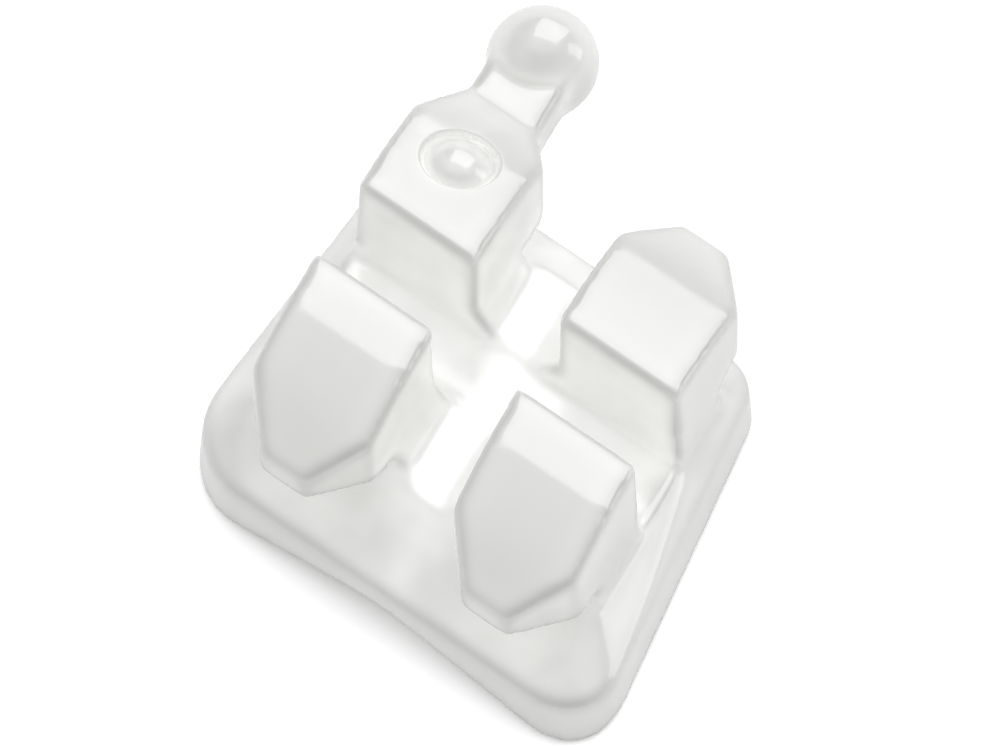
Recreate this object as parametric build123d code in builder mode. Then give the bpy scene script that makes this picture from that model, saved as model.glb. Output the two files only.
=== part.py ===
from build123d import *
import os
from math import asin, cos, degrees, radians, sin, tan

# Ceramic twin bracket for a canine, moulded in one piece with a ball hook.
# X runs along the archwire slot to the mesial side, Y towards the gum and Z away from the tooth.
# The origin is below the middle of the slot, on the plane that the two long edges of the base rest on.
# Millimetres and degrees.

# Slot and the angle at which the wings and the base lean across it
slot_width = 0.56
slot_depth = 0.78
tip_angle = 12.0

# Wings
height = 1.40
wing_span = 2.72
side_draft = 3.0
gingival_reach = 1.305
occlusal_reach = 1.325
tip_drop = 0.33
tip_thickness = 0.22
tip_width = 0.38
tip_cut = 0.41
top_edge_radius = 0.07
corner_extra = 0.01

# Ligature undercut below the wing tips, which leaves the stem between the wings and the base
undercut_depth = 0.70
undercut_fall = 0.12
undercut_radius = 0.10

# Groove between the mesial and the distal wings, measured square to its length.
# Its floor lies a step above the slot floor.
groove_width = 0.68
groove_step = 0.02
groove_radius = 0.20

# Base pad
pad_flange = 0.305
pad_side_taper = 5.6
pad_shift = -0.03
pad_gingival = 1.33
pad_occlusal = 1.66
pad_gingival_radius = 0.35
pad_distal_radius = 0.70
pad_mesial_radius = 0.42
rim_height = 0.40
rim_draft = 4.0
rim_edge_radius = 0.07
roof_step = 0.04
roof_margin = -0.05
roof_ledge = 0.04
roof_corner_radius = 0.08

# Underside, two slopes that meet in a rounded ridge along the tooth
arch_rise = 0.25
arch_width = 2.90
arch_ridge_radius = 1.20

# Retention grooves for the adhesive in the underside, wider inside than at the mouth
retention_count = 5
retention_mouth = 0.16
retention_flare = 0.04
retention_depth = 0.08
retention_margin = 0.42

# Ball hook on the distal gingival wing
ball_radius = 0.39
ball_reach = 2.10
ball_drop = 0.50
neck_width = 0.60
neck_thickness = 0.36
neck_drop = 0.30
neck_start = 1.53
neck_inner_cut = 0.26
neck_root_radius = 0.25

# Slopes up to which an edge counts as upright, and a face as level, when the wings are rounded
upright_limit = 15.0
level_limit = 30.0

# Identification dot on the hook wing
dot_reach = 0.92
dot_radius = 0.23
dot_ring_radius = 0.27
dot_ring_depth = 0.05
dot_rise = 0.06

slot_half = slot_width / 2
corner_radius = top_edge_radius + corner_extra
span_half = wing_span / 2
pad_half = span_half + pad_flange
gingival_stem = slot_half + gingival_reach - undercut_depth
occlusal_stem = slot_half + occlusal_reach - undercut_depth
groove_half = groove_width / 2 / cos(radians(tip_angle))
wing_middle = (span_half + groove_half) / 2
wing_half = (span_half - groove_half) / 2
slot_floor = height - slot_depth
roof_height = slot_floor + roof_step
groove_floor = slot_floor + groove_step
tip_top = height - tip_drop
tip_bottom = tip_top - tip_thickness
undercut_height = tip_bottom - undercut_fall
stem_foot = rim_height / 2
neck_top = height - neck_drop
ball_height = height - ball_drop
pad_length = (pad_gingival + pad_occlusal) / cos(radians(tip_angle))
pad_offset = (pad_occlusal - pad_gingival) / 2 / cos(radians(tip_angle))
arch_middle = pad_shift * cos(radians(tip_angle))
arch_slope = 2 * arch_rise / arch_width
retention_pitch = arch_width / (retention_count + 1)
lean = tan(radians(tip_angle))
clear = wing_span

os.makedirs("parts", exist_ok=True)


def leaning(x, y):
    """Plan point at x across and y along the leaning centre line."""
    return (x - lean * y, y)


# Plane square to the leaning centre line, seen along the centre line
across = Plane(
    origin=(0, 0, 0),
    x_dir=(cos(radians(tip_angle)), sin(radians(tip_angle)), 0),
    z_dir=(sin(radians(tip_angle)), -cos(radians(tip_angle)), 0),
)


def side_plane(side):
    """Drafted outer wall of the wings on the mesial (1) or the distal (-1) side."""
    turn = radians(tip_angle)
    draft = radians(side_draft)
    normal = (side * cos(turn) * cos(draft), side * sin(turn) * cos(draft), sin(draft))
    return Plane(origin=(side * span_half, 0, height), z_dir=normal)


def wing_outline(side, end, reach):
    """Plan corners of a wing, with its cut corners carried on past the walls."""
    half = tip_width / 2
    tip = slot_half + reach
    cut = tip - tip_cut
    shoulder = wing_half - half
    points = [
        (0, 0),
        (span_half + shoulder, 0),
        (span_half + shoulder, cut - tip_cut),
        (wing_middle + half, tip),
        (wing_middle - half, tip),
        (0, cut - tip_cut * groove_half / shoulder),
    ]
    return [leaning(side * x, end * y) for x, y in points]


def plain_wing(side, end, reach):
    """Wing with a crowned top, a blunt tip and an undercut."""
    tip = slot_half + reach
    stem = tip - undercut_depth
    with BuildPart() as wing:
        with BuildSketch():
            with BuildLine():
                Polyline(wing_outline(side, end, reach), close=True)
            make_face()
        extrude(amount=height)
        with BuildSketch(Plane.YZ):
            with BuildLine():
                TangentArc((end * slot_half, height), (end * tip, tip_top), tangent=(end, 0))
                FilletPolyline(
                    (end * tip, tip_top),
                    (end * tip, tip_bottom),
                    (end * stem, undercut_height),
                    (end * stem, stem_foot),
                    (0, stem_foot),
                    (0, height),
                    (end * slot_half, height),
                    radius=[0, undercut_radius, 0, 0, 0],
                )
            make_face()
        extrude(amount=clear, both=True, mode=Mode.INTERSECT)
        split(bisect_by=side_plane(side), keep=Keep.BOTTOM)
    return wing.part


def hook_outline():
    """Plan corners of the hook wing, which narrows to the neck of the ball hook."""
    half = neck_width / 2
    cut = neck_start - tip_cut
    shoulder = wing_half - half
    points = [
        (0, 0),
        (span_half + shoulder, 0),
        (span_half + shoulder, cut - tip_cut),
        (wing_middle + half, neck_start),
        (wing_middle + half, ball_reach),
        (wing_middle - half, ball_reach),
        (wing_middle - half, neck_start),
        (0, neck_start - neck_inner_cut * (1 + groove_half / shoulder)),
    ]
    return [leaning(-x, y) for x, y in points]


def hook_wing():
    """Distal gingival wing with the flat-topped neck of the hook."""
    neck_bottom = neck_top - neck_thickness
    with BuildPart() as wing:
        with BuildSketch():
            with BuildLine():
                FilletPolyline(
                    hook_outline(),
                    radius=[0, 0, 0, neck_root_radius, 0, 0, neck_root_radius, 0],
                    close=True,
                )
            make_face()
        extrude(amount=height)
        with BuildSketch(Plane.YZ) as profile:
            with BuildLine():
                TangentArc((slot_half, height), (neck_start, neck_top), tangent=(1, 0))
                FilletPolyline(
                    (neck_start, neck_top),
                    (ball_reach, neck_top),
                    (ball_reach, neck_bottom),
                    (gingival_stem, undercut_height),
                    (gingival_stem, stem_foot),
                    (0, stem_foot),
                    (0, height),
                    (slot_half, height),
                    radius=[0, 0, undercut_radius, 0, 0, 0],
                )
            make_face()
            fillet(profile.vertices().sort_by_distance((neck_start, neck_top))[0], neck_root_radius)
        extrude(amount=clear, both=True, mode=Mode.INTERSECT)
        split(bisect_by=side_plane(-1), keep=Keep.BOTTOM)
    return wing.part


def pad_outline(inset):
    """Plan corners of the pad, moved in by an equal margin on all sides."""
    half = pad_half - inset / cos(radians(pad_side_taper))
    taper = tan(radians(pad_side_taper))
    gingival = pad_gingival - inset
    occlusal = -pad_occlusal + inset
    corners = [(-1, occlusal), (1, occlusal), (1, gingival), (-1, gingival)]
    return [leaning(pad_shift + side * (half - taper * y), y) for side, y in corners]


def roof_outline():
    """Plan corners of the pad's roof under the wings."""
    half = span_half + roof_margin
    gingival = gingival_stem + roof_ledge
    occlusal = -occlusal_stem - roof_ledge
    corners = [(-1, occlusal), (1, occlusal), (1, gingival), (-1, gingival)]
    return [leaning(side * half, y) for side, y in corners]


def is_wing_corner(edge):
    """Upright edge at a corner of a wing, away from the neck of the hook."""
    middle = edge.center()
    upright = abs(edge.tangent_at(0.5).Z) > cos(radians(upright_limit))
    on_neck = middle.X < 0 and middle.Y > neck_start - tip_cut / 2
    reaches_top = edge.bounding_box().max.Z > (tip_top + undercut_height) / 2
    return upright and reaches_top and not on_neck


def on_wing(shape, side, end):
    """Whether an edge or a face belongs to the wing on one side and at one end."""
    middle = shape.center()
    return side * (middle.X + lean * middle.Y) > 0 and end * middle.Y > 0


def at_crossing(edge):
    """Edge where the slot crosses the groove."""
    middle = edge.center()
    return abs(abs(middle.Y) - slot_half) < corner_radius and abs(middle.X) < wing_middle


def is_wing_top(face):
    """Crowned top of a wing, or the flat top of the neck."""
    level = face.normal_at().Z > cos(radians(level_limit))
    return level and face.center().Z > neck_top - top_edge_radius


# Plane that touches the crown of the hook wing at the dot
crown_length = neck_start - slot_half
crown_radius = (crown_length**2 + neck_drop**2) / (2 * neck_drop)
crown_turn = asin((dot_reach - slot_half) / crown_radius)
dot_plane = Plane(
    origin=(*leaning(-wing_middle, dot_reach), height - crown_radius * (1 - cos(crown_turn))),
    x_dir=(1, 0, 0),
    z_dir=(0, sin(crown_turn), cos(crown_turn)),
)

wings = [
    hook_wing(),
    plain_wing(1, 1, gingival_reach),
    plain_wing(-1, -1, occlusal_reach),
    plain_wing(1, -1, occlusal_reach),
]

with BuildPart() as bracket:
    # Pad: a drafted rim and a hipped roof
    rim_inset = rim_height * tan(radians(rim_draft))
    pad_radii = [pad_distal_radius, pad_mesial_radius, pad_gingival_radius, pad_gingival_radius]
    for level, inset in ((0, 0), (rim_height, rim_inset)):
        with BuildSketch(Plane.XY.offset(level)):
            with BuildLine():
                FilletPolyline(pad_outline(inset), radius=[r - inset for r in pad_radii], close=True)
            make_face()
    with BuildSketch(Plane.XY.offset(roof_height)):
        with BuildLine():
            FilletPolyline(roof_outline(), radius=roof_corner_radius, close=True)
        make_face()
    loft(ruled=True)
    rim_edges = bracket.edges().filter_by_position(Axis.Z, rim_height, rim_height)
    fillet(rim_edges, rim_edge_radius)

    # Wings
    for wing in wings:
        add(wing)

    # Archwire slot
    with BuildSketch(Plane.YZ):
        with BuildLine():
            Polyline(
                (-slot_half, height + slot_depth),
                (-slot_half, slot_floor),
                (slot_half, slot_floor),
                (slot_half, height + slot_depth),
                close=True,
            )
        make_face()
    extrude(amount=clear, both=True, mode=Mode.SUBTRACT)

    # Groove between the wing pairs
    with BuildSketch(across):
        with BuildLine():
            FilletPolyline(
                (-groove_width / 2, height + slot_depth),
                (-groove_width / 2, groove_floor),
                (groove_width / 2, groove_floor),
                (groove_width / 2, height + slot_depth),
                radius=[0, groove_radius, groove_radius, 0],
                close=True,
            )
        make_face()
    extrude(amount=clear, both=True, mode=Mode.SUBTRACT)

    # Rounded wings: the outer corners, those at the crossing, then the edge round each top
    corners = bracket.edges().filter_by(is_wing_corner)
    fillet([edge for edge in corners if not at_crossing(edge)], corner_radius)
    corners = bracket.edges().filter_by(is_wing_corner)
    fillet([edge for edge in corners if at_crossing(edge)], corner_radius)
    for side, end in ((1, 1), (1, -1), (-1, 1), (-1, -1)):
        tops = bracket.faces().filter_by(lambda face: is_wing_top(face) and on_wing(face, side, end))
        rounds = [edge for edge in tops.edges() if sum(edge in top.edges() for top in tops) == 1]
        fillet(rounds, top_edge_radius)

    # Ball of the hook
    with Locations((*leaning(-wing_middle, ball_reach), ball_height)):
        Sphere(ball_radius)

    # Identification dot: a recess with a low dome in it
    with BuildSketch(dot_plane):
        Circle(dot_ring_radius)
    extrude(amount=-dot_ring_depth, mode=Mode.SUBTRACT)
    dome_height = dot_ring_depth + dot_rise
    dome_radius = (dot_radius**2 + dome_height**2) / (2 * dome_height)
    dome_start = degrees(asin(1 - dome_height / dome_radius))
    with Locations(Location(dot_plane.offset(dot_rise))):
        Sphere(dome_radius, arc_size1=dome_start, align=(Align.CENTER, Align.CENTER, Align.MAX))

    # Arched underside
    with BuildSketch(across):
        with BuildLine():
            FilletPolyline(
                (arch_middle - arch_width / 2, 0),
                (arch_middle, arch_rise),
                (arch_middle + arch_width / 2, 0),
                radius=[0, arch_ridge_radius, 0],
                close=True,
            )
        make_face()
    extrude(amount=clear, both=True, mode=Mode.SUBTRACT)

    # Retention grooves, which stop short of the ends of the base
    with BuildSketch(across.offset(pad_offset)):
        for place in range(retention_count):
            aside = (place - (retention_count - 1) / 2) * retention_pitch
            with Locations((arch_middle + aside, arch_rise - arch_slope * abs(aside))):
                Polygon(
                    (-retention_mouth / 2 + retention_flare, -retention_depth),
                    (retention_mouth / 2 - retention_flare, -retention_depth),
                    (retention_mouth / 2 + retention_flare, retention_depth),
                    (-retention_mouth / 2 - retention_flare, retention_depth),
                    align=None,
                )
    extrude(amount=pad_length / 2 - retention_margin, both=True, mode=Mode.SUBTRACT)

bracket.part.label = "bracket"
export_step(bracket.part, "parts/bracket.step")
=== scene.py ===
from math import asin, cos, pi, radians, sin, sqrt, tan

import bmesh
import bpy
from mathutils import Matrix, Vector
from mathutils.bvhtree import BVHTree


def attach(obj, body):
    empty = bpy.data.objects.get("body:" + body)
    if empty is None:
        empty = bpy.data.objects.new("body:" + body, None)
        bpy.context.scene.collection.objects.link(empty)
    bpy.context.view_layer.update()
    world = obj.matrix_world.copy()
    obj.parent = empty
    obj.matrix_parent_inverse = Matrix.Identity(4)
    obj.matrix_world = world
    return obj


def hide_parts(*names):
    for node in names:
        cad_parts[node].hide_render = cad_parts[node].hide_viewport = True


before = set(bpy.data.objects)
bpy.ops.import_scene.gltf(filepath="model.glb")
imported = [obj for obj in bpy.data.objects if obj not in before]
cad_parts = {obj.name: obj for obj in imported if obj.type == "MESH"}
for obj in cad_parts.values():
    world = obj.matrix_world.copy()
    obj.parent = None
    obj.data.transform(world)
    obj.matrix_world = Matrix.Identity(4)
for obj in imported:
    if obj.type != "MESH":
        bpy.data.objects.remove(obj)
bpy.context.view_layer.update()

# Sizes of the bracket in millimetres, and angles in degrees, in the frame of the CAD part
MM = 0.001
SLOT_WIDTH = 0.56
SLOT_DEPTH = 0.78
TIP_ANGLE = 12.0

HEIGHT = 1.40
WING_SPAN = 2.72
SIDE_DRAFT = 3.0
GINGIVAL_REACH = 1.305
OCCLUSAL_REACH = 1.325
TIP_DROP = 0.33
TIP_THICKNESS = 0.22
TIP_WIDTH = 0.38
TIP_CUT = 0.41

UNDERCUT_DEPTH = 0.70
UNDERCUT_FALL = 0.12

GROOVE_WIDTH = 0.68
GROOVE_STEP = 0.02
GROOVE_RADIUS = 0.25

PAD_WIDTH = 3.33
PAD_SIDE_TAPER = 5.6
PAD_SHIFT = -0.03
PAD_GINGIVAL = 1.33
PAD_OCCLUSAL = 1.66
PAD_RADII = (0.70, 0.42, 0.35, 0.35)
RIM_HEIGHT = 0.40
RIM_DRAFT = 4.0
ROOF_STEP = 0.04
ROOF_MARGIN = -0.05
ROOF_LEDGE = 0.04
ROOF_RADIUS = 0.08

ARCH_RISE = 0.25
ARCH_WIDTH = 2.90
ARCH_RADIUS = 1.20

RETENTION_COUNT = 5
RETENTION_MOUTH = 0.16
RETENTION_FLARE = 0.04
RETENTION_DEPTH = 0.08
RETENTION_MARGIN = 0.42

BALL_RADIUS = 0.39
BALL_REACH = 2.10
BALL_DROP = 0.50
NECK_WIDTH = 0.60
NECK_THICKNESS = 0.36
NECK_DROP = 0.30
NECK_START = 1.53
NECK_INNER_CUT = 0.26
NECK_RADIUS = 0.25

DOT_REACH = 0.92
DOT_RADIUS = 0.23
DOT_RING_RADIUS = 0.27
DOT_RING_DEPTH = 0.05
DOT_RISE = 0.06

# Camera: where it stands round the slot's middle at the crest, how far, and what it frames
VIEW_AZIMUTH = 38.956
VIEW_ELEVATION = 56.421
VIEW_DISTANCE = 0.090
PIXELS_PER_MM = 151.751
IMAGE_WIDTH, IMAGE_HEIGHT = 1000, 746
CREST_PIXEL = (496.3, 323.6)
SENSOR_WIDTH = 36.0

# How finely the moulded surface is drawn, and how many passes of smoothing round its edges
VOXEL = 0.0245
ROUNDING_PASSES = 16
ARC_STEPS = 24
CORNER_STEPS = 16
DOT_PATCH = 0.34
DOT_CUTS = 3
DOT_PASSES = 3

# How hollows are felt: rays, their start off the skin, their reach and smoothing passes
SKY_RAYS = 16
SKY_CLEAR = 0.01
SKY_REACH = 1.2
SKY_PASSES = 12

# How edges are felt: how far a vertex stands out from its neighbours on one, and smoothing passes
SHARP_DIP = 0.0013
SHARP_PASSES = 2

LEAN = tan(radians(TIP_ANGLE))
SLOT_HALF = SLOT_WIDTH / 2
SPAN_HALF = WING_SPAN / 2
GINGIVAL_STEM = SLOT_HALF + GINGIVAL_REACH - UNDERCUT_DEPTH
OCCLUSAL_STEM = SLOT_HALF + OCCLUSAL_REACH - UNDERCUT_DEPTH
GROOVE_HALF = GROOVE_WIDTH / 2 / cos(radians(TIP_ANGLE))
WING_MIDDLE = (SPAN_HALF + GROOVE_HALF) / 2
WING_HALF = (SPAN_HALF - GROOVE_HALF) / 2
SLOT_FLOOR = HEIGHT - SLOT_DEPTH
GROOVE_FLOOR = SLOT_FLOOR + GROOVE_STEP
ROOF_HEIGHT = SLOT_FLOOR + ROOF_STEP
TIP_BOTTOM = HEIGHT - TIP_DROP - TIP_THICKNESS
UNDERCUT_HEIGHT = TIP_BOTTOM - UNDERCUT_FALL
NECK_TOP = HEIGHT - NECK_DROP
CLEAR = WING_SPAN

# The wings are drawn across the middle, where the slot and the groove then part them
GROOVE_LAP = GROOVE_HALF / 2
SLOT_LAP = SLOT_HALF / 2


# Planes that outlines are drawn on: plan, side and square to the leaning centre line
PLAN = Matrix.Identity(4)
SIDE = Matrix(((0, 0, 1, 0), (1, 0, 0, 0), (0, 1, 0, 0), (0, 0, 0, 1)))
ACROSS = Matrix.Rotation(radians(TIP_ANGLE), 4, "Z") @ Matrix.Rotation(pi / 2, 4, "X")


def direction(azimuth, elevation):
    """Unit vector from the bracket towards a place round it."""
    turn, rise = radians(azimuth), radians(elevation)
    return Vector((sin(turn) * cos(rise), -cos(turn) * cos(rise), sin(rise)))


def leaning(x, y):
    """Plan point at x across and y along the leaning centre line."""
    return x - LEAN * y, y


def new_object(name, shape):
    """Object made from a bmesh, which is used up."""
    mesh = bpy.data.meshes.new(name)
    shape.to_mesh(mesh)
    shape.free()
    made = bpy.data.objects.new(name, mesh)
    bpy.context.scene.collection.objects.link(made)
    return made


def setback(outline, index, radius):
    """Distance from a corner of an outline to where a round of that radius starts."""
    corner, before, after = (Vector(outline[(index + i) % len(outline)]) for i in (0, -1, 1))
    return radius / tan((before - corner).angle(after - corner) / 2)


def round_corners(shape, corners, outline, radii):
    """Rounds corners of a drawn outline, given as corner number and radius."""
    for index, radius in radii.items():
        bmesh.ops.bevel(
            shape, geom=[corners[index]], offset=setback(outline, index, radius), affect="VERTICES",
            segments=CORNER_STEPS, profile=0.5, material=-1,
        )


def prism(name, outline, place, start, end, radii=None):
    """Closed prism: an outline on a plane, drawn out from start to end along the plane's normal."""
    shape = bmesh.new()
    corners = [shape.verts.new((u, v, start)) for u, v in outline]
    shape.faces.new(corners)
    round_corners(shape, corners, outline, radii or {})
    drawn = bmesh.ops.extrude_face_region(shape, geom=shape.faces[:])["geom"]
    ends = [part for part in drawn if isinstance(part, bmesh.types.BMVert)]
    bmesh.ops.translate(shape, verts=ends, vec=(0, 0, end - start))
    bmesh.ops.transform(shape, matrix=place, verts=shape.verts)
    bmesh.ops.recalc_face_normals(shape, faces=shape.faces)
    return new_object(name, shape)


def settle(piece):
    """Replaces a piece's mesh by what its modifiers make of it."""
    graph = bpy.context.evaluated_depsgraph_get()
    made = bpy.data.meshes.new_from_object(piece.evaluated_get(graph))
    piece.modifiers.clear()
    old, piece.data = piece.data, made
    bpy.data.meshes.remove(old)


def combine(piece, tool, operation):
    """Joins a tool to a piece, cuts it away or keeps what they share. The tool is used up."""
    step = piece.modifiers.new(operation, "BOOLEAN")
    step.operation = operation
    step.solver = "EXACT"
    step.object = tool
    settle(piece)
    bpy.data.meshes.remove(tool.data)


def cap_radius(run, drop):
    """Radius of an arc that starts level and falls by drop over a run."""
    return (run**2 + drop**2) / (2 * drop)


def crown(start, end, drop):
    """Points of an arc that leaves the crest level at start and has fallen by drop at end."""
    run = end - start
    radius = cap_radius(run, drop)
    turn = asin(run / radius)
    angles = [turn * step / ARC_STEPS for step in range(ARC_STEPS + 1)]
    return [(start + radius * sin(angle), HEIGHT - radius * (1 - cos(angle))) for angle in angles]


def drafted(piece, side):
    """Cuts a wing along the drafted outer wall of the mesial (1) or distal (-1) side."""
    turn, draft = radians(TIP_ANGLE), radians(SIDE_DRAFT)
    shape = bmesh.new()
    shape.from_mesh(piece.data)
    cut = bmesh.ops.bisect_plane(
        shape, geom=shape.verts[:] + shape.edges[:] + shape.faces[:], clear_outer=True,
        plane_co=(side * SPAN_HALF, 0, HEIGHT),
        plane_no=(side * cos(turn) * cos(draft), side * sin(turn) * cos(draft), sin(draft)),
    )
    rim = [part for part in cut["geom_cut"] if isinstance(part, bmesh.types.BMEdge)]
    bmesh.ops.edgeloop_fill(shape, edges=rim)
    bmesh.ops.recalc_face_normals(shape, faces=shape.faces)
    shape.to_mesh(piece.data)
    shape.free()


def plain_wing(name, side, end, reach):
    """Tie wing with a crowned top, cut corners at its tip and an undercut."""
    tip = SLOT_HALF + reach
    tip_half = TIP_WIDTH / 2
    shoulder = WING_HALF - tip_half
    cut = tip - TIP_CUT
    plan = [
        (-GROOVE_LAP, -SLOT_LAP),
        (SPAN_HALF + shoulder, -SLOT_LAP),
        (SPAN_HALF + shoulder, cut - TIP_CUT),
        (WING_MIDDLE + tip_half, tip),
        (WING_MIDDLE - tip_half, tip),
        (-GROOVE_LAP, cut - TIP_CUT * (GROOVE_HALF + GROOVE_LAP) / shoulder),
    ]
    under = [
        (tip, TIP_BOTTOM),
        (tip - UNDERCUT_DEPTH, UNDERCUT_HEIGHT),
        (tip - UNDERCUT_DEPTH, RIM_HEIGHT),
        (-CLEAR, RIM_HEIGHT),
        (-CLEAR, HEIGHT),
    ]
    profile = [(end * y, z) for y, z in crown(SLOT_HALF, tip, TIP_DROP) + under]
    wing = prism(name, [leaning(side * x, end * y) for x, y in plan], PLAN, 0, HEIGHT + RIM_HEIGHT)
    combine(wing, prism("profile", profile, SIDE, -CLEAR, CLEAR), "INTERSECT")
    drafted(wing, side)
    return wing


def hook_wing(name):
    """Distal gingival wing, which narrows to the flat-topped neck of the ball hook."""
    neck_half = NECK_WIDTH / 2
    shoulder = WING_HALF - neck_half
    cut = NECK_START - TIP_CUT
    plan = [
        (-GROOVE_LAP, -SLOT_LAP),
        (SPAN_HALF + shoulder, -SLOT_LAP),
        (SPAN_HALF + shoulder, cut - TIP_CUT),
        (WING_MIDDLE + neck_half, NECK_START),
        (WING_MIDDLE + neck_half, BALL_REACH),
        (WING_MIDDLE - neck_half, BALL_REACH),
        (WING_MIDDLE - neck_half, NECK_START),
        (-GROOVE_LAP, NECK_START - NECK_INNER_CUT * (1 + (GROOVE_HALF + GROOVE_LAP) / shoulder)),
    ]
    neck = [
        (BALL_REACH, NECK_TOP),
        (BALL_REACH, NECK_TOP - NECK_THICKNESS),
        (GINGIVAL_STEM, UNDERCUT_HEIGHT),
        (GINGIVAL_STEM, RIM_HEIGHT),
        (-CLEAR, RIM_HEIGHT),
        (-CLEAR, HEIGHT),
    ]
    outline = [leaning(-x, y) for x, y in plan]
    wing = prism(name, outline, PLAN, 0, HEIGHT + RIM_HEIGHT, {3: NECK_RADIUS, 6: NECK_RADIUS})
    profile = crown(SLOT_HALF, NECK_START, NECK_DROP) + neck
    combine(wing, prism("profile", profile, SIDE, -CLEAR, CLEAR), "INTERSECT")
    drafted(wing, -1)
    return wing


def pad_outline(inset):
    """Plan corners of the pad, moved in by an equal margin on all sides."""
    half = PAD_WIDTH / 2 - inset / cos(radians(PAD_SIDE_TAPER))
    taper = tan(radians(PAD_SIDE_TAPER))
    gingival = PAD_GINGIVAL - inset
    occlusal = inset - PAD_OCCLUSAL
    corners = [(-1, occlusal), (1, occlusal), (1, gingival), (-1, gingival)]
    return [leaning(PAD_SHIFT + side * (half - taper * y), y) for side, y in corners]


def roof_outline():
    """Plan corners of the pad's roof under the wings."""
    half = SPAN_HALF + ROOF_MARGIN
    gingival = GINGIVAL_STEM + ROOF_LEDGE
    occlusal = -OCCLUSAL_STEM - ROOF_LEDGE
    corners = [(-1, occlusal), (1, occlusal), (1, gingival), (-1, gingival)]
    return [leaning(side * half, y) for side, y in corners]


def hull(name, rings):
    """Closed convex block through rounded outlines, each given with its level and corner radii."""
    shape = bmesh.new()
    for outline, level, radii in rings:
        corners = [shape.verts.new((x, y, level)) for x, y in outline]
        shape.faces.new(corners)
        round_corners(shape, corners, outline, dict(enumerate(radii)))
    bmesh.ops.delete(shape, geom=shape.faces[:], context="FACES_ONLY")
    bmesh.ops.convex_hull(shape, input=shape.verts[:])
    bmesh.ops.recalc_face_normals(shape, faces=shape.faces)
    return new_object(name, shape)


def base_pad(name):
    """Base pad: a drafted rim below a hipped roof."""
    inset = RIM_HEIGHT * tan(radians(RIM_DRAFT))
    foot = (pad_outline(0), 0, PAD_RADII)
    rim = (pad_outline(inset), RIM_HEIGHT, [radius - inset for radius in PAD_RADII])
    roof = (roof_outline(), ROOF_HEIGHT, [ROOF_RADIUS] * 4)
    return hull(name, (foot, rim, roof))


def slot_cutter():
    half, top = SLOT_HALF, HEIGHT + SLOT_DEPTH
    outline = [(-half, SLOT_FLOOR), (half, SLOT_FLOOR), (half, top), (-half, top)]
    return prism("slot", outline, SIDE, -CLEAR, CLEAR)


def groove_cutter():
    half, top = GROOVE_WIDTH / 2, HEIGHT + SLOT_DEPTH
    outline = [(-half, GROOVE_FLOOR), (half, GROOVE_FLOOR), (half, top), (-half, top)]
    return prism("groove", outline, ACROSS, -CLEAR, CLEAR, {0: GROOVE_RADIUS, 1: GROOVE_RADIUS})


def arch_cutter():
    middle = PAD_SHIFT * cos(radians(TIP_ANGLE))
    half = ARCH_WIDTH / 2
    slope = ARCH_RISE / half
    outline = [
        (middle - half - CLEAR, -slope * CLEAR),
        (middle + half + CLEAR, -slope * CLEAR),
        (middle, ARCH_RISE),
    ]
    return prism("arch", outline, ACROSS, -CLEAR, CLEAR, {2: ARCH_RADIUS})


def retention_cutters():
    """Blind grooves for the adhesive in the underside, wider inside than at the mouth."""
    pitch = ARCH_WIDTH / (RETENTION_COUNT + 1)
    mouth, flare = RETENTION_MOUTH / 2, RETENTION_FLARE
    length = (PAD_GINGIVAL + PAD_OCCLUSAL) / cos(radians(TIP_ANGLE)) - 2 * RETENTION_MARGIN
    offset = (PAD_OCCLUSAL - PAD_GINGIVAL) / 2 / cos(radians(TIP_ANGLE))
    for place in range(RETENTION_COUNT):
        aside = (place - (RETENTION_COUNT - 1) / 2) * pitch
        middle = PAD_SHIFT * cos(radians(TIP_ANGLE)) + aside
        level = ARCH_RISE * (1 - 2 * abs(aside) / ARCH_WIDTH)
        low, high = level - RETENTION_DEPTH, level + RETENTION_DEPTH
        outline = [
            (middle - mouth + flare, low),
            (middle + mouth - flare, low),
            (middle + mouth + flare, high),
            (middle - mouth - flare, high),
        ]
        yield prism("retention", outline, ACROSS, offset - length / 2, offset + length / 2)


def hook_ball(name):
    """Ball of the hook."""
    shape = bmesh.new()
    place = Matrix.Translation((*leaning(-WING_MIDDLE, BALL_REACH), HEIGHT - BALL_DROP))
    bmesh.ops.create_uvsphere(
        shape, u_segments=4 * ARC_STEPS, v_segments=2 * ARC_STEPS, radius=BALL_RADIUS, matrix=place,
    )
    return new_object(name, shape)


def smooth(shape, verts, passes):
    """Evens out vertices between their neighbours."""
    for _ in range(passes):
        bmesh.ops.smooth_vert(
            shape, verts=verts, factor=0.5, use_axis_x=True, use_axis_y=True, use_axis_z=True,
        )


def dot_relief(out):
    """Height of the identification dot over its wing's top, at a distance from the dot's middle."""
    dome = cap_radius(DOT_RADIUS, DOT_RISE + DOT_RING_DEPTH)
    if out < DOT_RADIUS:
        return DOT_RISE - dome + sqrt(dome**2 - out**2)
    return -DOT_RING_DEPTH if out < DOT_RING_RADIUS else 0


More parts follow.
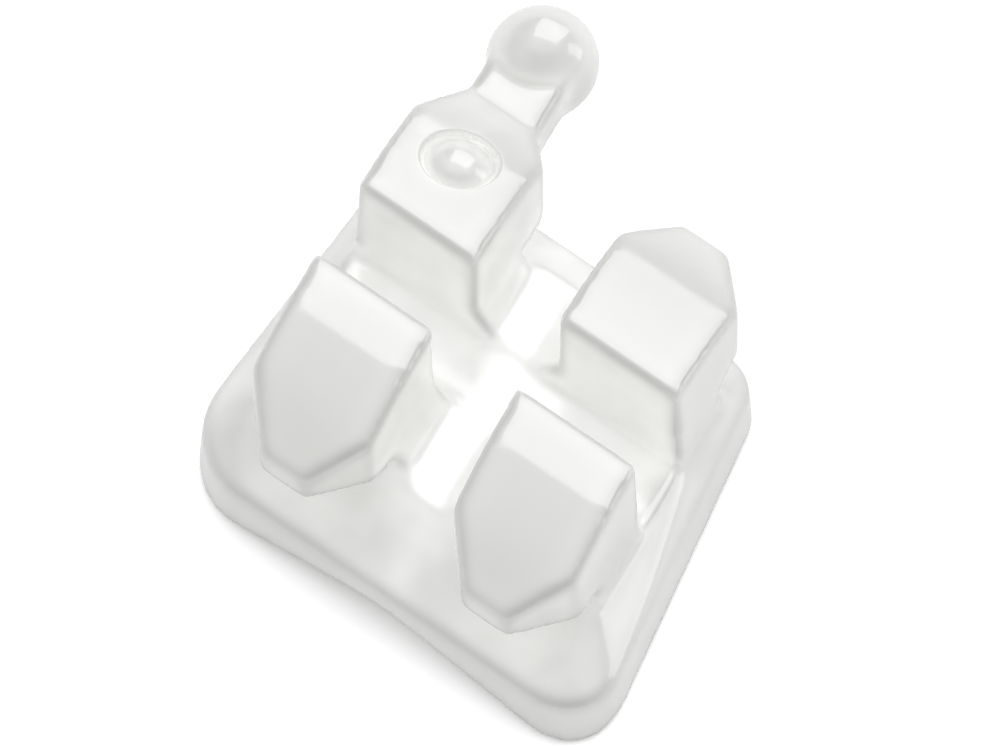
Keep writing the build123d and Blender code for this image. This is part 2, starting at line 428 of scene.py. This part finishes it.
def identification_dot(shape):
    """Raises the domed dot in its ring on top of the hook wing, on a finer patch of the skin."""
    radius = cap_radius(NECK_START - SLOT_HALF, NECK_DROP)
    turn = asin((DOT_REACH - SLOT_HALF) / radius)
    middle = Vector((*leaning(-WING_MIDDLE, DOT_REACH), HEIGHT - radius * (1 - cos(turn))))
    normal = Vector((0, sin(turn), cos(turn)))

    def distance(vert):
        offset = vert.co - middle
        rise = offset.dot(normal)
        return (offset - rise * normal).length if abs(rise) < DOT_RADIUS / 2 else CLEAR

    patch = [edge for edge in shape.edges if max(distance(vert) for vert in edge.verts) < DOT_PATCH]
    bmesh.ops.subdivide_edges(shape, edges=patch, cuts=DOT_CUTS, use_grid_fill=True)
    fine = [vert for vert in shape.verts if distance(vert) < DOT_PATCH]
    smooth(shape, fine, DOT_PASSES)
    for vert in fine:
        vert.co += dot_relief(distance(vert)) * normal
    smooth(shape, fine, DOT_PASSES)


def sky():
    """Directions spread over the half space above Z, closer together overhead."""
    directions = []
    for step in range(SKY_RAYS):
        out = sqrt((step + 0.5) / SKY_RAYS)
        turn = step * pi * (3 - sqrt(5))
        directions.append(Vector((out * cos(turn), out * sin(turn), sqrt(1 - out**2))))
    return directions


def spread(shape, layer, passes):
    """Evens out a value that vertices carry with their neighbours' values."""
    for _ in range(passes):
        totals = [sum(edge.other_vert(vert)[layer] for edge in vert.link_edges) for vert in shape.verts]
        for vert, total in zip(shape.verts, totals):
            vert[layer] = (vert[layer] + total / len(vert.link_edges)) / 2


def gather(shape):
    """Stores on each vertex how far it lies in a hollow that opens upwards, from 0 to 1."""
    tree = BVHTree.FromBMesh(shape)
    layer = shape.verts.layers.float.new("gather")
    directions = sky()
    for vert in shape.verts:
        turn = vert.normal.to_track_quat("Z", "Y")
        start = vert.co + SKY_CLEAR * vert.normal
        hits = [tree.ray_cast(start, turn @ way, SKY_REACH)[3] for way in directions]
        hidden = sum(hit is not None for hit in hits) / SKY_RAYS
        vert[layer] = hidden * (1 + vert.normal.z) / 2
    spread(shape, layer, SKY_PASSES)


def sharpness(shape):
    """Stores on each vertex how sharply the skin bends outwards there, from 0 on flats to 1."""
    layer = shape.verts.layers.float.new("sharpness")
    for vert in shape.verts:
        around = [edge.other_vert(vert).co for edge in vert.link_edges]
        dip = (vert.co - sum(around, Vector()) / len(around)).dot(vert.normal)
        vert[layer] = min(max(dip / SHARP_DIP, 0), 1)
    spread(shape, layer, SHARP_PASSES)


def moulded(piece):
    """Draws a piece again as one even skin and rounds its edges, as moulding and polishing do."""
    skin = piece.modifiers.new("skin", "REMESH")
    skin.mode = "VOXEL"
    skin.voxel_size = VOXEL
    settle(piece)
    shape = bmesh.new()
    shape.from_mesh(piece.data)
    smooth(shape, shape.verts, ROUNDING_PASSES)
    identification_dot(shape)
    shape.normal_update()
    gather(shape)
    sharpness(shape)
    shape.to_mesh(piece.data)
    shape.free()


def bracket():
    """The whole bracket as one closed mesh, in metres."""
    body = base_pad("bracket_skin")
    combine(body, hook_wing("hook_wing"), "UNION")
    combine(body, plain_wing("mesial_gingival_wing", 1, 1, GINGIVAL_REACH), "UNION")
    combine(body, plain_wing("distal_occlusal_wing", -1, -1, OCCLUSAL_REACH), "UNION")
    combine(body, plain_wing("mesial_occlusal_wing", 1, -1, OCCLUSAL_REACH), "UNION")
    for cutter in (slot_cutter(), groove_cutter(), arch_cutter(), *retention_cutters()):
        combine(body, cutter, "DIFFERENCE")
    combine(body, hook_ball("hook_ball"), "UNION")
    moulded(body)
    body.data.transform(Matrix.Scale(MM, 4))
    for face in body.data.polygons:
        face.use_smooth = True
    return body


class Socket:
    """A shader socket that takes part in sums, so that node maths reads as plain maths."""

    def __init__(self, tree, socket):
        self.tree = tree
        self.socket = socket

    def math(self, operation, *values):
        return node(self.tree, "ShaderNodeMath", {"operation": operation}, dict(enumerate(values)))

    def __add__(self, other):
        return self.math("ADD", self, other)

    def __radd__(self, other):
        return self.math("ADD", other, self)

    def __sub__(self, other):
        return self.math("SUBTRACT", self, other)

    def __rsub__(self, other):
        return self.math("SUBTRACT", other, self)

    def __mul__(self, other):
        return self.math("MULTIPLY", self, other)

    def __rmul__(self, other):
        return self.math("MULTIPLY", other, self)

    def greater(self, other):
        return self.math("MAXIMUM", self, other)

    def fade(self, full, none):
        """1 up to a value, falling smoothly to 0 at another."""
        return node(
            self.tree, "ShaderNodeMapRange", {"interpolation_type": "SMOOTHSTEP"},
            {"Value": self, "From Min": full, "From Max": none, "To Min": 1.0, "To Max": 0.0},
        )


def node(tree, kind, settings=None, inputs=None, output=0):
    """Adds a node, sets it up, feeds its sockets with values or links and gives one of its outputs."""
    made = tree.nodes.new(kind)
    for name, value in (settings or {}).items():
        setattr(made, name, value)
    for key, value in (inputs or {}).items():
        if isinstance(value, Socket):
            tree.links.new(value.socket, made.inputs[key])
        else:
            made.inputs[key].default_value = value
    return Socket(tree, made.outputs[output]) if made.outputs else None


def material(name):
    """New material with an empty node tree."""
    made = bpy.data.materials.new(name)
    made.use_nodes = True
    made.node_tree.nodes.clear()
    return made, made.node_tree


# Ceramic: how far light spreads inside it in millimetres, its own tint in the open, the painted light
# that whitens hollows and the painted shade that greys edges. Hollows count as full at one gather value
# and get a little painted glow. The hook, past a reach in metres, gets a share of the hollows' painted
# light.
# Roughness is that of clear skin and what clouds and hollows add.
SCATTER = 0.3
OPEN_TINT = (0.64, 0.64, 0.628, 1)
HOLLOW_PAINTED_LIGHT = (0.965, 0.965, 0.95, 1)
EDGE_PAINTED_SHADE = (0.45, 0.45, 0.44, 1)
FULL_GATHER = 0.6
HOOK_PAINTED_LIGHT_SHARE = 0.35
HOOK_REACH = (0.0017, 0.0020)
HOLLOW_PAINTED_GLOW = 0.09
CLOUD_TINT = 0.2
CLEAR_ROUGHNESS = 0.06
CLOUD_ROUGHNESS = 0.05
HOLLOW_ROUGHNESS = 0.14


def blend(tree, share, first, second):
    """Colour between two colours."""
    inputs = {"Factor": share, "A": first, "B": second}
    return node(tree, "ShaderNodeMix", {"data_type": "RGBA"}, inputs, output="Result")


def ceramic():
    """Milky, translucent ceramic with a polished skin, with painted light that whitens hollows and the
    hook, a painted glow in hollows, and painted shade that greys edges.
    """
    made, tree = material("milky_ceramic")
    place = node(tree, "ShaderNodeTexCoord", output="Object")
    cloud = node(tree, "ShaderNodeTexNoise", inputs={"Vector": place, "Scale": 900.0, "Detail": 3.0})
    grain = node(tree, "ShaderNodeTexNoise", inputs={"Vector": place, "Scale": 16000.0, "Detail": 4.0})
    gathered = node(tree, "ShaderNodeAttribute", {"attribute_name": "gather"}, output="Fac")
    hollow = gathered * (1 / FULL_GATHER)
    edge = node(tree, "ShaderNodeAttribute", {"attribute_name": "sharpness"}, output="Fac")
    reach = node(tree, "ShaderNodeSeparateXYZ", inputs={"Vector": place}, output="Y")
    # Painted light: the thin ball and neck of the hook are painted whiter, with a share of the hollows'
    # painted light.
    hook = HOOK_PAINTED_LIGHT_SHARE * (1 - reach.fade(*HOOK_REACH))
    # Painted light: hollows and the hook are painted whiter than the open surface; only the cloud term is
    # the ceramic's own random tone.
    tint_with_painted_light = blend(tree, hollow + hook + CLOUD_TINT * (cloud - 0.5), OPEN_TINT, HOLLOW_PAINTED_LIGHT)
    relief = node(tree, "ShaderNodeBump", inputs={"Strength": 0.04, "Distance": 0.000004, "Height": grain})
    skin = node(
        tree, "ShaderNodeBsdfPrincipled", {"subsurface_method": "RANDOM_WALK"},
        {
            # Painted shade: where the skin bends sharply outwards, the edges are painted darker grey.
            "Base Color": blend(tree, edge, tint_with_painted_light, EDGE_PAINTED_SHADE),
            "Roughness": CLEAR_ROUGHNESS + CLOUD_ROUGHNESS * cloud + HOLLOW_ROUGHNESS * hollow,
            "IOR": 2.1,
            "Normal": relief,
            "Subsurface Weight": 1.0,
            "Subsurface Scale": SCATTER * MM,
            "Subsurface Radius": (1.0, 1.0, 1.0),
            # Painted glow: hollows glow by emission, though no lamp is there.
            "Emission Color": blend(tree, hollow, (0, 0, 0, 1), (1, 1, 1, 1)),
            "Emission Strength": HOLLOW_PAINTED_GLOW,
        },
    )
    node(tree, "ShaderNodeOutputMaterial", inputs={"Surface": skin})
    return made


def ray_kinds(tree, *names):
    """Sockets that are 1 for rays of a kind and 0 for others."""
    return [node(tree, "ShaderNodeLightPath", output=f"Is {name} Ray") for name in names]


# Floor: how pale it is as it lights the bracket, how much whiter it is where it is seen, its size in
# metres and its drop below the base in millimetres
FLOOR_SHADES = (0.86, 0.90)
FLOOR_LIFT = 0.36
FLOOR_SIZE = 0.6
FLOOR_DROP = 0.015


def floor_paper():
    """White paper that keeps a shadow."""
    made, tree = material("white_paper")
    place = node(tree, "ShaderNodeTexCoord", output="Object")
    fibre = node(tree, "ShaderNodeTexNoise", inputs={"Vector": place, "Scale": 3000.0})
    camera, through = ray_kinds(tree, "Camera", "Transmission")
    shade = FLOOR_SHADES[0] + (FLOOR_SHADES[1] - FLOOR_SHADES[0]) * fibre
    lifted = shade + FLOOR_LIFT * camera.greater(through)
    matt = node(tree, "ShaderNodeBsdfDiffuse", inputs={"Color": lifted})
    node(tree, "ShaderNodeOutputMaterial", inputs={"Surface": matt})
    return made


def floor():
    """Plain floor under the base."""
    shape = bmesh.new()
    bmesh.ops.create_grid(shape, x_segments=1, y_segments=1, size=FLOOR_SIZE / 2)
    bmesh.ops.translate(shape, verts=shape.verts, vec=(0, 0, -FLOOR_DROP * MM))
    made = new_object("floor", shape)
    made.data.materials.append(floor_paper())


def camera():
    """Camera at the photograph's angle, moved sideways so that the crest falls on its pixel."""
    back = direction(VIEW_AZIMUTH, VIEW_ELEVATION)
    turn = (-back).to_track_quat("-Z", "Y")
    aside = (IMAGE_WIDTH / 2 - CREST_PIXEL[0]) / PIXELS_PER_MM
    below = (IMAGE_HEIGHT / 2 - CREST_PIXEL[1]) / PIXELS_PER_MM
    offset = turn @ Vector((aside, -below, 0)) * MM
    data = bpy.data.cameras.new("camera")
    data.sensor_width = SENSOR_WIDTH
    data.lens = PIXELS_PER_MM / MM * VIEW_DISTANCE * SENSOR_WIDTH / IMAGE_WIDTH
    data.clip_start = VIEW_DISTANCE / 10
    made = bpy.data.objects.new("camera", data)
    made.location = Vector((0, 0, HEIGHT * MM)) + back * VIEW_DISTANCE + offset
    made.rotation_mode = "QUATERNION"
    made.rotation_quaternion = turn
    bpy.context.scene.collection.objects.link(made)
    bpy.context.scene.camera = made


def softbox(name, azimuth, elevation, distance, width, height, radiance):
    """Area lamp that faces the bracket from a direction, as bright as radiance when looked at."""
    back = direction(azimuth, elevation)
    data = bpy.data.lights.new(name, "AREA")
    data.shape = "RECTANGLE"
    data.size, data.size_y = width, height
    data.energy = radiance * pi * width * height
    made = bpy.data.objects.new(name, data)
    made.location = back * distance
    made.rotation_mode = "QUATERNION"
    made.rotation_quaternion = (-back).to_track_quat("-Z", "Y")
    bpy.context.scene.collection.objects.link(made)


# Softboxes: where they stand (azimuth and elevation), how far, and their width, height and radiance
LAMP_DISTANCE = 0.30
BACK_PLACE = (195.0, 51.0)
BACK_SIZE = (0.26, 0.267)
BACK_RADIANCE = 1.3
FLANK_PLACE = (136.0, 23.0)
FLANK_SIZE = (0.10, 0.18)
FLANK_RADIANCE = 1.0

# Room: its even light, what more comes from the front and the side, and its shade in gloss: horizon,
# ceiling, a bright panel overhead and a dim patch where the camera stands
AMBIENT = 0.57
FRONT_LIGHT = 0.80
FRONT_PLACE = (-28.0, 56.0)
SIDE_LIGHT = 0.50
SIDE_PLACE = (120.0, 20.0)
HORIZON = 0.78
HORIZON_TURN = 0.30
CEILING = 0.35
HORIZON_LEVELS = (0.20, 0.50)
PANEL = 0.45
PANEL_PLACE = (195.0, 72.0)
PANEL_WIDTH = (0.05, 0.25)
CAMERA_SHADE = 0.9
CAMERA_WIDTH = (0.02, 0.25)


def studio():
    """Even ambient light, a white backdrop, and softboxes behind and beside the bracket."""
    world = bpy.data.worlds.new("studio")
    world.use_nodes = True
    tree = world.node_tree
    tree.nodes.clear()
    way = node(tree, "ShaderNodeTexCoord", output="Generated")
    x, y, z = (node(tree, "ShaderNodeSeparateXYZ", inputs={"Vector": way}, output=axis) for axis in "XYZ")

    def towards(azimuth, elevation):
        middle = direction(azimuth, elevation)
        return middle.x * x + middle.y * y + middle.z * z

    frontal = towards(*FRONT_PLACE).greater(0)
    lateral = towards(*SIDE_PLACE).greater(0)
    lighting = AMBIENT + FRONT_LIGHT * frontal * frontal + SIDE_LIGHT * lateral * lateral
    horizon = HORIZON - HORIZON_TURN * towards(VIEW_AZIMUTH, 0)
    camera, glossy, through = ray_kinds(tree, "Camera", "Glossy", "Transmission")
    panel = PANEL * (1 - towards(*PANEL_PLACE)).fade(*PANEL_WIDTH)
    unlit = CAMERA_SHADE * (1 - towards(VIEW_AZIMUTH, VIEW_ELEVATION)).fade(*CAMERA_WIDTH)
    room = CEILING + (horizon - CEILING) * z.fade(*HORIZON_LEVELS)
    mirrored = room * (1 - unlit) + panel
    seen = camera.greater(through)
    strength = seen + (1 - seen) * (lighting + (mirrored - lighting) * glossy)
    shade = node(tree, "ShaderNodeBackground", inputs={"Color": (1, 1, 1, 1), "Strength": strength})
    node(tree, "ShaderNodeOutputWorld", inputs={"Surface": shade})
    bpy.context.scene.world = world
    softbox("back_softbox", *BACK_PLACE, LAMP_DISTANCE, *BACK_SIZE, BACK_RADIANCE)
    softbox("flank_softbox", *FLANK_PLACE, LAMP_DISTANCE, *FLANK_SIZE, FLANK_RADIANCE)


skin = bracket()
skin.data.materials.clear()
skin.data.materials.append(ceramic())
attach(skin, "root")
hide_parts("bracket")
floor()
studio()
camera()
bpy.context.scene.view_settings.view_transform = "Standard"
